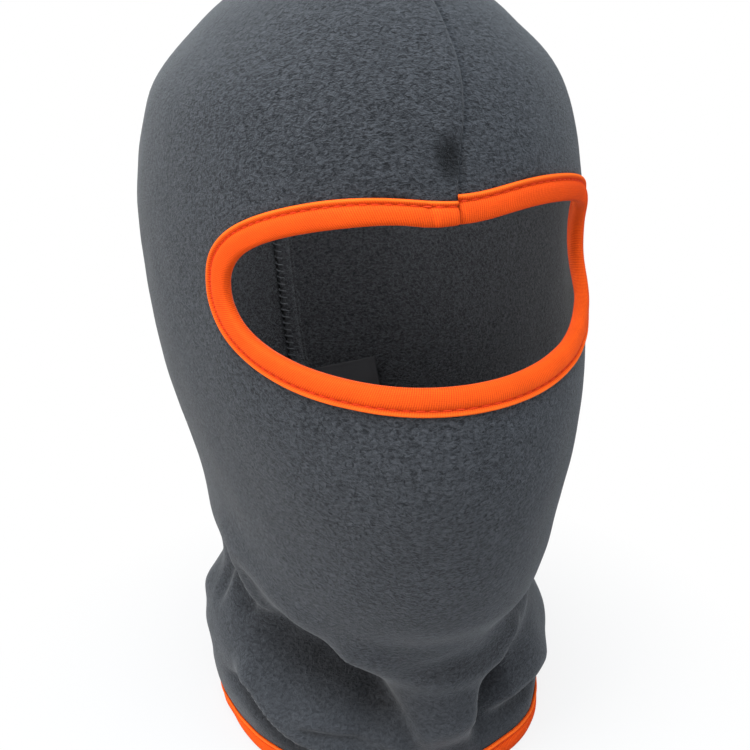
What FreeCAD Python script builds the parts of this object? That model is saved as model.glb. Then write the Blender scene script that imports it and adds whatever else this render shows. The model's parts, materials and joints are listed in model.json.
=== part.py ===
import FreeCAD, Part

import math
import os

import Sketcher
from FreeCAD import Placement, Rotation, Vector

# A fleece balaclava with one eye opening, in the shape that it takes when worn.
#
# Frame: millimetres, +Z up, the face looks along -Y and the wearer's left is +X. The origin is the centre of
# the neck opening, on the plane that the hem stands on.
#
# The fleece is one cut panel. It is folded at the front, below the eye opening, and closed by one seam, which
# runs from the top of the opening over the crown and down the nape to the hem. The panel is held as two
# solids, fleece_hood and fleece_neck, so that the head can nod. They meet at a ball-shaped collar, whose
# points are all equally far from the nodding axis, so that the hood's rim turns around it with clearance.
#
# The tape, threads and seam allowance follow the outside of the fleece. Each is a loft through sections whose
# corners are given as (place on the fleece's outside, height along the surface's normal).

DOC = FreeCAD.newDocument("balaclava")

# ---- Driving dimensions ----------------------------------------------------------------------------------

# The outside of the fleece at rising levels: level above the hem, half-width to each side, depth to the
# front and depth to the back.
LEVELS = {
    "hem": (0, 64, 77.5, 64.5),
    "shoulder": (18, 69, 74, 67.5),
    "fold": (40, 68.5, 66, 67.5),
    "waist": (60, 61.5, 66.5, 63),
    "chin": (75, 61.5, 88.5, 65.5),
    "jaw": (89, 65, 96, 70.5),
    "lip": (107, 67.5, 101.5, 79),
    "cheek": (132, 73, 107, 90),
    "nose": (162, 79, 105, 97.5),
    "eye": (191, 81.5, 98, 100.5),
    "brow": (224, 81, 96, 98.5),
    "forehead": (257, 73.5, 85.5, 86.5),
    "upper": (279, 55, 68, 68),
    "crown": (292, 38, 50, 50),
    "top": (301, 0, 0, 0),
}

SIZES = {
    "fleece_thickness": 2.4,
    "tape_thickness": 0.9,
    "tape_width": 8.2,
    "layer_gap": 0.1,
    "edge_gap": 2.0,
    "opening_level": 198.4,
    "opening_rise": 26,
    "opening_drop": 27.2,
    "opening_half_angle": 50.8,
    "opening_top_roundness": 2.4,
    "opening_bottom_roundness": 2,
    "forehead_dip": 2.5,
    "thread_width": 0.6,
    "thread_height": 0.4,
    "stitch_inset": 1.9,
    "seam_groove_width": 0.8,
    "seam_groove_depth": 1,
    "allowance_width": 7,
    "allowance_thickness": 3,
    "overlock_gap": 0.8,
    "seam_clearance": 2,
    "tape_end_gap": 0.4,
    "hem_trim": 0.5,
    "tack_offset": 7.5,
    "tack_width": 1.2,
    "tack_inset": 1.2,
    "tack_length": 4.2,
    "tack_sink": 0.25,
    "hood_rim_level": 61,
    "skirt_top_level": 42,
    "collar_pivot_level": 57,
    "collar_pivot_ahead": 1,
    "collar_radius": 57.2,
    "collar_top_level": 76,
    "label_length": 32,
    "label_height": 24,
    "label_thickness": 0.8,
    "label_edge_gap": 0.4,
    "label_corner": 1.5,
    "label_level": 103,
    "label_standoff": 4.6,
    "label_rest_angle": 20,
    "beyond": 200,
}

sheet = DOC.addObject("Spreadsheet::Sheet", "Dimensions")


def write_cell(column, row, alias, number):
    """Put a number into the sheet under an alias."""
    sheet.set(f"{column}{row}", str(number))
    sheet.setAlias(f"{column}{row}", alias)


for row, (name, number) in enumerate(SIZES.items(), start=1):
    sheet.set(f"A{row}", name)
    write_cell("B", row, name, number)
for row, (station, numbers) in enumerate(LEVELS.items(), start=len(SIZES) + 1):
    sheet.set(f"A{row}", station)
    for column, prefix, number in zip("BCDE", ("level", "side", "front", "back"), numbers):
        write_cell(column, row, f"{prefix}_{station}", number)
DOC.recompute()


def size(alias):
    """A driving dimension, read from the sheet."""
    return float(sheet.get(alias))


def dim(expression):
    """An expression over the sheet: each $word becomes that cell."""
    return expression.replace("$", "Dimensions.")


GAP = size("layer_gap")
FLEECE = size("fleece_thickness")
TAPE = size("tape_thickness")
WIDTH = size("tape_width")

# ---- The outside of the fleece ---------------------------------------------------------------------------

# Each level's outline is half an ellipse in front and half an ellipse behind. Between levels the squares of
# the three radii run along smooth cubics, so that they fall evenly to zero at the top.
KNOTS = [size(f"level_{name}") for name in LEVELS]
SQUARES = [[size(f"{part}_{name}") ** 2 for part in ("side", "front", "back")] for name in LEVELS]


def knot_slope(k, column):
    """The slope of a squared radius at a knot, from its neighbours."""
    below, above = max(k - 1, 0), min(k + 1, len(KNOTS) - 1)
    return (SQUARES[above][column] - SQUARES[below][column]) / (KNOTS[above] - KNOTS[below])


def squared_radius(column, level):
    """A squared radius at a level, and its slope there."""
    k = max(i for i in range(len(KNOTS) - 1) if i == 0 or KNOTS[i] <= level)
    span = KNOTS[k + 1] - KNOTS[k]
    t = (level - KNOTS[k]) / span
    start, end = SQUARES[k][column], SQUARES[k + 1][column]
    rise, out, into = end - start, knot_slope(k, column) * span, knot_slope(k + 1, column) * span
    second, third = 3 * rise - 2 * out - into, out + into - 2 * rise
    value = start + out * t + second * t**2 + third * t**3
    return value, (out + 2 * second * t + 3 * third * t**2) / span


def outside(turn, level, height=0.0):
    """The point of the fleece's outside in the direction turn (0 ahead, growing towards +X), raised by height."""
    side, side_slope = squared_radius(0, level)
    depth, depth_slope = squared_radius(1 if math.cos(turn) > 0 else 2, level)
    reach = 1 / math.sqrt(math.sin(turn) ** 2 / side + math.cos(turn) ** 2 / depth)
    x, y = reach * math.sin(turn), -reach * math.cos(turn)
    fall = (x / side) ** 2 * side_slope + (y / depth) ** 2 * depth_slope
    normal = Vector(x / side, y / depth, -fall / 2).normalize()
    return Vector(x, y, level) + normal * height


RING_POINTS = 36
LEVEL_STEP = 8.0
CROWN_SHARES = (1, 0.8, 0.6, 0.4, 0.2)  # the rings that close the crown, as shares of its radii
BELOW_HEM = 8.0  # each form runs this far below the hem plane


def ring_levels():
    """The levels of the form's rings: even steps up to the crown, then closer and closer."""
    crown, top = size("level_crown"), size("level_top")
    steps = round(crown / LEVEL_STEP)
    return [crown * k / steps for k in range(steps)] + [top - (top - crown) * s**2 for s in CROWN_SHARES]


def form(grow):
    """The body form as a solid, moved along its normals by grow and run on below the hem plane."""
    turns = [2 * math.pi * (k + 0.5) / RING_POINTS for k in range(RING_POINTS)]
    levels = [-BELOW_HEM] + ring_levels()
    rings = [[outside(turn, level, grow) for turn in turns] for level in levels]
    rings[0] = [Vector(point.x, point.y, levels[0]) for point in rings[0]]
    rings[-1] = [Vector(point.x, point.y, levels[-1] + grow) for point in rings[-1]]
    quarters = list(zip(*(quarter_curves(ring) for ring in rings)))
    faces = [woven_face(curves) for curves in quarters]
    for end in (0, -1):
        faces.append(Part.Face(Part.Wire([curves[end].toShape() for curves in quarters])))
    return closed_solid(faces)


def smooth_curve(points, closed=False):
    """The cubic through points, one unit of parameter from each to the next."""
    curve = Part.BSplineCurve()
    steps = len(points) + 1 if closed else len(points)
    curve.interpolate(Points=points, PeriodicFlag=closed, Parameters=list(range(steps)))
    return curve


def quarter_curves(points):
    """The smooth closed curve through a ring of points, cut into four equal parts."""
    quarter = len(points) / 4
    curves = [smooth_curve(points, closed=True) for _ in range(4)]
    for k, curve in enumerate(curves):
        curve.segment(k * quarter, (k + 1) * quarter)
    return curves


def woven_face(curves):
    """The smooth face through curves that share their knots."""
    columns = [smooth_curve(list(poles)) for poles in zip(*(curve.getPoles() for curve in curves))]
    along, across = curves[0], columns[0]
    surface = Part.BSplineSurface()
    surface.buildFromPolesMultsKnots(
        [column.getPoles() for column in columns],
        along.getMultiplicities(), across.getMultiplicities(), along.getKnots(), across.getKnots(),
        False, False, along.Degree, across.Degree,
    )
    return surface.toShape()


def closed_solid(faces):
    """The solid that faces enclose."""
    shell = Part.makeShell(faces)
    shell.sewShape()
    solid = Part.makeSolid(shell)
    if solid.Volume < 0:
        solid.reverse()
    return solid


# ---- Sections along the eye opening, the hem and the seam ------------------------------------------------

OPENING_SECTIONS = 56
HEM_SECTIONS = 48
DIP_ANGLE = 0.2  # radians from the middle over which the forehead's dip fades


def opening_place(angle, widen):
    """(turn, level) on the opening's outline at an angle, moved outwards by widen along the surface."""
    across, up = math.cos(angle), math.sin(angle)
    power = size("opening_top_roundness") if up > 0 else size("opening_bottom_roundness")
    reach = (abs(across) ** power + abs(up) ** power) ** (-1 / power)
    half_angle = math.radians(size("opening_half_angle")) + widen / size("side_eye")
    turn = half_angle * reach * across
    height = widen + (size("opening_rise") if up > 0 else size("opening_drop"))
    level = size("opening_level") + height * reach * up
    if up > 0:
        level -= size("forehead_dip") * math.exp(-((turn / DIP_ANGLE) ** 2))
    return turn, level


def along_opening(widen, height):
    """Points along the opening from the forehead seam round by +X to the seam again."""
    angles = [math.pi / 2 - 2 * math.pi * k / OPENING_SECTIONS for k in range(OPENING_SECTIONS + 1)]
    return with_seam_gap([outside(*opening_place(angle, widen), height) for angle in angles], 1)


def along_hem(widen, height):
    """Points along the hem from the nape seam round by -X to the seam again, widen above the hem's edge."""
    points = []
    for k in range(HEM_SECTIONS + 1):
        turn = -math.pi + 2 * math.pi * k / HEM_SECTIONS
        rise = outside(turn, widen, height).z - widen
        point = outside(turn, widen - rise, height)
        points.append(Vector(point.x, point.y, widen))
    return with_seam_gap(points, -1)


def with_seam_gap(points, way):
    """The same points with the two ends drawn back from the middle plane."""
    half_gap = way * size("tape_end_gap") / 2
    points[0].x, points[-1].x = half_gap, -half_gap
    return points


def ruled_face(first, second):
    """The face whose straight lines join two curves that share their knots."""
    surface = Part.BSplineSurface()
    surface.buildFromPolesMultsKnots(
        [list(pair) for pair in zip(first.getPoles(), second.getPoles())],
        first.getMultiplicities(), [2, 2], first.getKnots(), [0, 1], False, False, first.Degree, 1,
    )
    return surface.toShape()


def skin(tracks):
    """A solid whose corners follow smooth tracks; each track is one list of points."""
    curves = [smooth_curve(points) for points in tracks]
    faces = [ruled_face(curves[k - 1], curve) for k, curve in enumerate(curves)]
    for end in (0, -1):
        corners = [points[end] for points in tracks]
        faces.append(Part.Face(Part.makePolygon(corners + corners[:1])))
    return closed_solid(faces)


def folded_tape(along, foot=0.0):
    """A tape folded over an edge: an outer leg, the fold at the foot and an inner leg, which follow the surface."""
    outer, under = GAP + TAPE, GAP
    over, inner = -FLEECE - GAP, -FLEECE - GAP - TAPE
    wide = [foot] + [WIDTH * share for share in (1 / 3, 2 / 3, 1)]
    pocket = [TAPE] + wide[1:]
    corners = [(w, outer) for w in wide] + [(w, under) for w in reversed(pocket)]
    corners += [(w, over) for w in pocket] + [(w, inner) for w in reversed(wide)]
    return skin([along(w, h) for w, h in corners])


def stitch_line(along, low):
    """One thread of the tape's stitching, thread_width across and thread_height high."""
    middle, half = WIDTH - size("stitch_inset"), size("thread_width") / 2
    high = low + size("thread_height")
    return skin([along(middle + w, h) for w, h in ((-half, low), (half, low), (half, high), (-half, high))])


def seam_places(first, last):
    """(turn, level) along the seam, from a level on the forehead over the crown to a level on the nape."""
    ahead = [(0, level) for level in ring_levels() if level > first + LEVEL_STEP / 2]
    behind = [(math.pi, level) for level in reversed(ring_levels()) if level > last + LEVEL_STEP / 2]
    return [(0, first)] + ahead + behind + [(math.pi, last)]


def nape_places(first, last):
    """(turn, level) up the nape seam, between two levels."""
    steps = math.ceil((last - first) / LEVEL_STEP)
    return [(math.pi, first + (last - first) * k / steps) for k in range(steps + 1)]


def strip(places, left, right, low, high):
    """A strip along places of the middle plane, between two distances across and two heights."""
    corners = ((left, low), (right, low), (right, high), (left, high))
    return skin([[outside(*place, h) + Vector(x, 0, 0) for place in places] for x, h in corners])


# ---- Document objects ------------------------------------------------------------------------------------


def feature(name, shape):
    """A Part::Feature that holds a shape made from the sheet's sizes."""
    piece = DOC.addObject("Part::Feature", name)
    piece.Shape = shape
    return piece


def boolean(kind, name, base, tool):
    """A Part::Cut, Part::Common or Part::Fuse of two objects."""
    piece = DOC.addObject(f"Part::{kind}", name)
    piece.Base = base
    piece.Tool = tool
    return piece


def zone(name, low, high):
    """A Part::Box that is wider than the piece, between two levels; each level is an expression."""
    piece = DOC.addObject("Part::Box", name)
    piece.setExpression("Length", dim("2 * $beyond"))
    piece.setExpression("Width", dim("2 * $beyond"))
    piece.setExpression("Height", dim(f"({high}) - ({low})"))
    piece.setExpression("Placement.Base.x", dim("-$beyond"))
    piece.setExpression("Placement.Base.y", dim("-$beyond"))
    piece.setExpression("Placement.Base.z", dim(low))
    return piece


def ball(name, radius):
    """A Part::Sphere about the middle of the nodding axis."""
    piece = DOC.addObject("Part::Sphere", name)
    piece.setExpression("Radius", dim(radius))
    piece.setExpression("Placement.Base.y", dim("-$collar_pivot_ahead"))
    piece.setExpression("Placement.Base.z", dim("$collar_pivot_level"))
    return piece


PLUG_NEAR, PLUG_FAR = 25.0, 180.0  # the plug's end planes, in front of the vertical axis


def opening_plug(widen):
    """A cone through the opening, widened; its apex is on the vertical axis, at the opening's level."""
    middle = size("opening_level")
    wires = []
    for plane in (PLUG_NEAR, PLUG_FAR):
        ring = []
        for k in range(OPENING_SECTIONS):
            on_edge = outside(*opening_place(2 * math.pi * (k + 0.5) / OPENING_SECTIONS, widen))
            share = plane / -on_edge.y
            ring.append(Vector(on_edge.x * share, -plane, middle + (on_edge.z - middle) * share))
        wires.append(Part.Wire([smooth_curve(ring, closed=True).toShape()]))
    return Part.makeLoft(wires, True, True, False)


OUTER_FORM = feature("outer_form", form(0))
INNER_FORM = feature("inner_form", form(-FLEECE))
WALL = boolean("Cut", "fleece_wall", OUTER_FORM, INNER_FORM)

ALLOWANCE = size("allowance_thickness")
INTO_FLEECE = -FLEECE / 2
GROOVE = (-size("seam_groove_width") / 2, size("seam_groove_width") / 2, -size("seam_groove_depth"), 1.0)
FOLDED = (-size("allowance_width"), -GAP, -FLEECE - ALLOWANCE, INTO_FLEECE)
OVERLOCK = (
    FOLDED[0] - GAP - size("thread_width"),
    FOLDED[0] - GAP,
    -FLEECE - ALLOWANCE,
    -FLEECE - size("overlock_gap"),
)
EDGE_TOP = size("opening_level") + size("opening_rise") - size("forehead_dip")
HOOD_SEAM = (EDGE_TOP + WIDTH + size("seam_clearance"), size("hood_rim_level") + size("seam_clearance"))
SKIRT_SEAM = (WIDTH + GAP, size("skirt_top_level") - FLEECE - GAP)


def fleece_hood():
    """The hood: the fleece above the rim, with the seam's allowance inside and its groove outside."""
    above_rim = boolean("Common", "hood_wall", WALL, zone("hood_zone", "$hood_rim_level", "2 * $beyond"))
    plug = feature("opening_plug", opening_plug(TAPE + size("edge_gap")))
    opened = boolean("Cut", "hood_opened", above_rim, plug)
    allowance = feature("hood_allowance", strip(seam_places(*HOOD_SEAM), *FOLDED))
    sewn = boolean("Fuse", "hood_sewn", opened, allowance)
    seam = (EDGE_TOP - size("seam_clearance"), size("hood_rim_level") - 2 * size("seam_clearance"))
    groove = feature("hood_groove", strip(seam_places(*seam), *GROOVE))
    return boolean("Cut", "fleece_hood", sewn, groove)


def fleece_neck():
    """The neck skirt, whose top turns inwards and rises as the ball-shaped collar."""
    low, ledge, top = "$tape_thickness + $layer_gap", "$skirt_top_level - $fleece_thickness", "$skirt_top_level"
    skirt = boolean("Common", "skirt_wall", WALL, zone("skirt_zone", low, top))
    disc = boolean("Common", "ledge_disc", OUTER_FORM, zone("ledge_zone", ledge, top))
    collar_zone = zone("collar_zone", ledge, "$collar_top_level")
    collar = boolean("Common", "collar", ball("collar_ball", "$collar_radius"), collar_zone)
    solid_top = boolean("Fuse", "ledge_and_collar", disc, collar)
    neck_top = boolean("Cut", "neck_top", solid_top, ball("collar_hollow", "$collar_radius - $fleece_thickness"))
    walls = boolean("Fuse", "neck_walls", skirt, neck_top)
    allowance = feature("skirt_allowance", strip(nape_places(*SKIRT_SEAM), *FOLDED))
    sewn = boolean("Fuse", "neck_sewn", walls, allowance)
    seam = (WIDTH + GAP, size("skirt_top_level") + 1)
    groove = feature("nape_groove", strip(nape_places(*seam), *GROOVE))
    return boolean("Cut", "fleece_neck", sewn, groove)


def hem_binding():
    """The hem's tape, trimmed so that it rests on one flat ring."""
    long_tape = feature("hem_tape", folded_tape(along_hem, -size("hem_trim")))
    return boolean("Cut", "hem_binding", long_tape, zone("below_hem", "-$beyond", "0"))


def thread_pair(name, along):
    """The needle thread on the outside and the bobbin thread on the inside of a line of stitching."""
    needle = feature(f"{name}_needle", stitch_line(along, GAP + TAPE + GAP))
    bobbin = feature(f"{name}_bobbin", stitch_line(along, -FLEECE - TAPE - 2 * GAP - size("thread_height")))
    pair = DOC.addObject("Part::Compound", name)
    pair.Links = [needle, bobbin]
    return pair


def tack(name, turn, low):
    """A bar tack across the tape beside the seam, which holds the folded seam allowance down."""
    places = [(turn, low + size("tack_length") * share) for share in (0, 1 / 3, 2 / 3, 1)]
    middle, half = -size("tack_offset"), size("tack_width") / 2
    under = GAP + TAPE + GAP - size("tack_sink")
    return feature(name, strip(places, middle - half, middle + half, under, under + size("thread_height")))


def care_label():
    """A blank woven label. Its own Y axis runs along the nape seam, which holds its edge, and X across it."""
    body = DOC.addObject("PartDesign::Body", "care_label")
    sketch = body.newObject("Sketcher::SketchObject", "label_outline")
    plane = next(item for item in body.Origin.OriginFeatures if item.Role == "XY_Plane")
    sketch.AttachmentSupport = [(plane, "")]
    sketch.MapMode = "FlatFace"
    near, far, half = size("label_edge_gap"), size("label_length"), size("label_height") / 2
    corners = [Vector(near, -half, 0), Vector(far, -half, 0), Vector(far, half, 0), Vector(near, half, 0)]
    for start, end in zip(corners, corners[1:] + corners[:1]):
        sketch.addGeometry(Part.LineSegment(start, end), False)
    for line in range(4):
        sketch.addConstraint(Sketcher.Constraint("Coincident", line, 2, (line + 1) % 4, 1))
    for line, way in ((0, "Horizontal"), (2, "Horizontal"), (3, "Vertical")):
        sketch.addConstraint(Sketcher.Constraint(way, line))
    sketch.addConstraint(Sketcher.Constraint("Symmetric", 1, 1, 1, 2, -1))
    lengths = (
        ("high", Sketcher.Constraint("DistanceY", 1, 1, 1, 2, 2 * half), "$label_height"),
        ("near", Sketcher.Constraint("DistanceX", -1, 1, 0, 1, near), "$label_edge_gap"),
        ("far", Sketcher.Constraint("DistanceX", -1, 1, 0, 2, far), "$label_length"),
    )
    for name, constraint, expression in lengths:
        index = sketch.addConstraint(constraint)
        sketch.renameConstraint(index, name)
        sketch.setExpression(f"Constraints.{name}", dim(expression))
    pad = body.newObject("PartDesign::Pad", "label_pad")
    pad.Profile = sketch
    pad.Midplane = True
    pad.setExpression("Length", dim("$label_thickness"))
    DOC.recompute()
    free_corners = [f"Edge{k}" for k, edge in enumerate(pad.Shape.Edges, start=1) if is_free_corner(edge)]
    rounding = body.newObject("PartDesign::Fillet", "label_corners")
    rounding.Base = (pad, free_corners)
    rounding.setExpression("Radius", dim("$label_corner"))
    body.Placement = label_placement()
    return body


def is_free_corner(edge):
    """Whether an edge of the label's pad runs through its thickness on the side away from the seam."""
    bounds = edge.BoundBox
    return bounds.XLength + bounds.YLength < GAP and bounds.XMin > size("label_length") / 2


def label_placement():
    """The label's axes: Y up the nape seam, X across to the wearer's left, turned in by the rest angle."""
    level = size("label_level")
    foot, head = (outside(math.pi, level + step) for step in (-1, 1))
    lean = math.degrees(math.atan2(head.y - foot.y, head.z - foot.z))
    hinge = outside(math.pi, level, -FLEECE - size("label_standoff"))
    up_the_nape = Rotation(Vector(1, 0, 0), 90 - lean)
    swing = Rotation(Vector(0, 1, 0), -size("label_rest_angle"))
    return Placement(hinge, up_the_nape.multiply(swing))


SUB_PARTS = [
    fleece_hood(),
    fleece_neck(),
    feature("eye_binding", folded_tape(along_opening)),
    hem_binding(),
    thread_pair("eye_binding_thread", along_opening),
    thread_pair("hem_binding_thread", along_hem),
    feature("seam_thread_hood", strip(seam_places(*HOOD_SEAM), *OVERLOCK)),
    feature("seam_thread_neck", strip(nape_places(*SKIRT_SEAM), *OVERLOCK)),
    tack("forehead_tack", 0, EDGE_TOP + size("tack_inset")),
    tack("hem_tack", math.pi, size("tack_inset")),
    care_label(),
]

# ---- Check and write -------------------------------------------------------------------------------------

DOC.recompute()
for item in DOC.Objects:
    if {"Invalid", "Error"} & set(item.State):
        raise RuntimeError(f"{item.Label} failed: {item.State}")
for piece in SUB_PARTS:
    if piece.Shape.isNull() or not piece.Shape.isValid():
        raise RuntimeError(f"{piece.Label} has no valid shape")

os.makedirs("parts", exist_ok=True)
for piece in SUB_PARTS:
    piece.Shape.exportStep(f"parts/{piece.Label}.step")
    bounds = piece.Shape.BoundBox
    print(f"{piece.Label}: {len(piece.Shape.Solids)} solids, {piece.Shape.Volume:.0f} mm3, {bounds}")
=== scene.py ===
"""Looks of the fleece balaclava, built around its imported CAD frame.

Lengths are metres. A place on the fleece is (turn, level): turn is the angle about the vertical axis, 0 at
the front and growing towards +X, and level is the height above the floor.
"""

import json
import math

import bmesh
import bpy
import numpy as np
from mathutils import Matrix, Vector, noise
from mathutils.bvhtree import BVHTree


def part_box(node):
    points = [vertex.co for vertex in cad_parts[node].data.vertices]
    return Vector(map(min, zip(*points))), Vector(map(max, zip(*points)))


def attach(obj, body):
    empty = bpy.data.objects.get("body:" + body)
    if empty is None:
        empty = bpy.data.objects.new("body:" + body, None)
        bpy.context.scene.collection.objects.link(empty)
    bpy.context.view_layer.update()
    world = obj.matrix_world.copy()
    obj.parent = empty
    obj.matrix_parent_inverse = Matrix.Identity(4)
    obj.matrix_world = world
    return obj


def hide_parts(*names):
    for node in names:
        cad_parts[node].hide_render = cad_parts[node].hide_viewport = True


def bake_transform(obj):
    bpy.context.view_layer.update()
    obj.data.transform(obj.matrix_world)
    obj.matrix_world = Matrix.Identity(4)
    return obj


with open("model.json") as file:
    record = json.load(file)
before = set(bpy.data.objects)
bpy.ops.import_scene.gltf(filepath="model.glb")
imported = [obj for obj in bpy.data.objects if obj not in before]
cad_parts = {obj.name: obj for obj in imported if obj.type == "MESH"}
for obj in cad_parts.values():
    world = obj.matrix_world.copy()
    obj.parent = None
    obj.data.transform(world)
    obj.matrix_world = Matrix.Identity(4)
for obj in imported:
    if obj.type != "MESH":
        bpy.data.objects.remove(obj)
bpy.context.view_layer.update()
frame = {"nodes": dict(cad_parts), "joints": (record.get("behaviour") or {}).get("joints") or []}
MM = 0.001

# ---- Driving dimensions, the same as the CAD's -----------------------------------------------------------

FLEECE = 2.4 * MM
TAPE_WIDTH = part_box("hem_binding")[1][2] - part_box("hem_binding")[0][2]
STITCH_INSET = 1.9 * MM
OPENING_LEVEL = 198.4 * MM
OPENING_RISE = 26 * MM
OPENING_DROP = 27.2 * MM
OPENING_HALF_ANGLE = math.radians(50.8)
OPENING_TOP_ROUNDNESS = 2.4
OPENING_BOTTOM_ROUNDNESS = 2.0
OPENING_SIDE_RADIUS = 81.5 * MM
FOREHEAD_DIP = 2.5 * MM
DIP_ANGLE = 0.2
TAPE_STEP = 1.9 * MM  # the outer edges of the tape's two ends meet at the forehead seam with this step
SEAM_DRIFT = 2.6 * MM  # how far the worn seam is pulled to -X at the opening's edge
SEAM_LEAN = 7 * MM  # how far it leans to +X over the crown
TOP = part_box("fleece_hood")[1][2]
SKIRT_TOP = 42 * MM
HOOD_RIM = 61 * MM
ALLOWANCE_WIDTH = 7 * MM
TACK_OFFSET = 6.5 * MM  # from the tape's end to its tack
TAPE_END_GAP = 0.15 * MM
EYE_TAPE_LENGTH = 370 * MM
DENT_RISE = 16.5 * MM  # a puckered dent beside the forehead seam: its middle above the opening's edge
DENT_ACROSS = 3.8 * MM  # from the seam to the dent's middle
DENT_HALF_WIDTH = 3.4 * MM
DENT_HALF_HEIGHT = 5.6 * MM
DENT_DEPTH = 2.6 * MM
PULL_ANGLE = math.radians(57)  # where the tight binding pulls the fleece in most
PULL_LEFT, PULL_RIGHT = 3.0 * MM, 1.5 * MM  # on the wearer's left, +X, and right
SEAM_GROOVE, SEAM_GROOVE_HALF = 0.6 * MM, 1.1 * MM
SEAM_RADIUS = 92 * MM


def smoothstep(value):
    """0 below 0, 1 above 1 and a smooth rise between."""
    share = np.clip(value, 0.0, 1.0)
    return share * share * (3 - 2 * share)


# ---- The outside of the fleece, measured on the CAD ------------------------------------------------------

RAY_START = 0.3
LEVEL_PITCH = 3 * MM
FRONT_ANGLE = math.radians(15)
BESIDE_OPENING = math.radians(62)
BACK_ANGLE = math.radians(168)


def node_tree(name):
    """A search tree of a CAD node's faces."""
    mesh = frame["nodes"][name].data
    return BVHTree.FromPolygons([v.co for v in mesh.vertices], [p.vertices for p in mesh.polygons])


TREES = {name: node_tree(name) for name in ("fleece_hood", "fleece_neck")}


def measured_radius(turn, level):
    """Distance from the vertical axis to the outside of the CAD fleece."""
    tree = TREES["fleece_neck" if level < SKIRT_TOP else "fleece_hood"]
    outwards = Vector((math.sin(turn), -math.cos(turn), 0))
    distance = tree.ray_cast(outwards * RAY_START + Vector((0, 0, level)), -outwards)[3]
    return RAY_START - distance


def depth_square(turn, level, side_square):
    """The square of the outline's front or back depth, from the radius at an angle to it."""
    across = math.sin(turn) ** 2 / side_square
    return math.cos(turn) ** 2 / (measured_radius(turn, level) ** -2 - across)


def measured_squares():
    """Levels, and at each the squares of the outline's side, front and back radii."""
    levels, squares = [], []
    for level in np.arange(LEVEL_PITCH, TOP - LEVEL_PITCH / 2, LEVEL_PITCH):
        if SKIRT_TOP - 1 * MM < level < HOOD_RIM + 1 * MM:
            continue
        beside = OPENING_LEVEL - 45 * MM < level < OPENING_LEVEL + 45 * MM
        side = measured_radius(math.pi / 2, level) ** 2
        front = depth_square(BESIDE_OPENING if beside else FRONT_ANGLE, level, side)
        levels.append(level)
        squares.append((side, front, depth_square(BACK_ANGLE, level, side)))
    levels.append(TOP)
    squares.append((0.0, 0.0, 0.0))
    even = np.arange(LEVEL_PITCH, TOP, 1 * MM)
    columns = [np.interp(even, levels, column) for column in zip(*squares)]
    kernel = np.hanning(13)
    kernel /= kernel.sum()
    keep = even > TOP - 14 * MM
    smooth = [np.convolve(np.pad(column, 6, mode="edge"), kernel, mode="valid") for column in columns]
    smooth = [np.where(keep, column, soft) for column, soft in zip(columns, smooth)]
    return np.append(even, TOP), np.array([np.append(column, 0.0) for column in smooth])


LEVELS, SQUARES = measured_squares()
LOWEST_SQUARE = (0.3 * MM) ** 2


def bare_surface(turn, level):
    """Points of the fleece's outside before its folds, as an array of x, y, z."""
    side, front, back = (np.maximum(np.interp(level, LEVELS, column), LOWEST_SQUARE) for column in SQUARES)
    depth = np.where(np.cos(turn) > 0, front, back)
    radius = 1 / np.sqrt(np.sin(turn) ** 2 / side + np.cos(turn) ** 2 / depth)
    return np.stack([radius * np.sin(turn), -radius * np.cos(turn), level + 0 * radius], axis=-1)


def surface_normal(turn, level):
    """The outward direction of the bare surface."""
    low, high = np.maximum(level - 2 * MM, LEVEL_PITCH), np.minimum(level + 2 * MM, TOP - 0.01 * MM)
    low = np.minimum(low, high - 0.2 * MM)
    along_turn = bare_surface(turn + 0.01, level) - bare_surface(turn - 0.01, level)
    along_level = bare_surface(turn, high) - bare_surface(turn, low)
    normal = np.cross(along_turn, along_level)
    return normal / np.linalg.norm(normal, axis=-1, keepdims=True)


# ---- Folds of the worn fabric ----------------------------------------------------------------------------

NECK_RADIUS = 68 * MM  # turns are measured as lengths at this radius when a fold is drawn
FOLD_BASE = 5 * MM  # the folds' own levels are counted from here


def smooth_line(places, steps=6):
    """A rounded line through (degrees, millimetres) places, as an array of (across, level) in metres."""
    knots = np.array([(math.radians(turn) * NECK_RADIUS, level * MM) for turn, level in places])
    ahead = np.vstack([2 * knots[0] - knots[1], knots, 2 * knots[-1] - knots[-2]])
    line = []
    for k in range(1, len(ahead) - 2):
        p, q, r, s = ahead[k - 1:k + 3]
        for share in np.arange(steps) / steps:
            curve = 2 * q + (r - p) * share + (2 * p - 5 * q + 4 * r - s) * share**2
            line.append((curve + (3 * q - p - 3 * r + s) * share**3) / 2)
    return np.array(line + [knots[-1]])


def fold(turn, level, places, height, left, right, fade=0.18):
    """Height of one fold along a line; it falls off over left and right millimetres on the two sides."""
    line = smooth_line(places)
    nearest = np.full(turn.shape, 1.0)
    result = np.zeros(turn.shape)
    middle = line[:, 0].mean() / NECK_RADIUS
    around = (turn - middle + math.pi) % (2 * math.pi) - math.pi + middle
    across = around * NECK_RADIUS
    pieces = len(line) - 1
    for k, (start, end) in enumerate(zip(line, line[1:])):
        along = end - start
        length = np.linalg.norm(along)
        share = np.clip(((across - start[0]) * along[0] + (level - start[1]) * along[1]) / length**2, 0, 1)
        off_x, off_y = across - start[0] - share * along[0], level - start[1] - share * along[1]
        away = np.hypot(off_x, off_y)
        on_left = along[0] * off_y - along[1] * off_x > 0
        place = (k + share) / pieces
        ends = smoothstep(place / fade) * smoothstep((1 - place) / fade)
        here = height * MM * ends * np.exp(-((away / np.where(on_left, left * MM, right * MM)) ** 2))
        closer = away < nearest
        result = np.where(closer, here, result)
        nearest = np.minimum(nearest, away)
    return result


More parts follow.
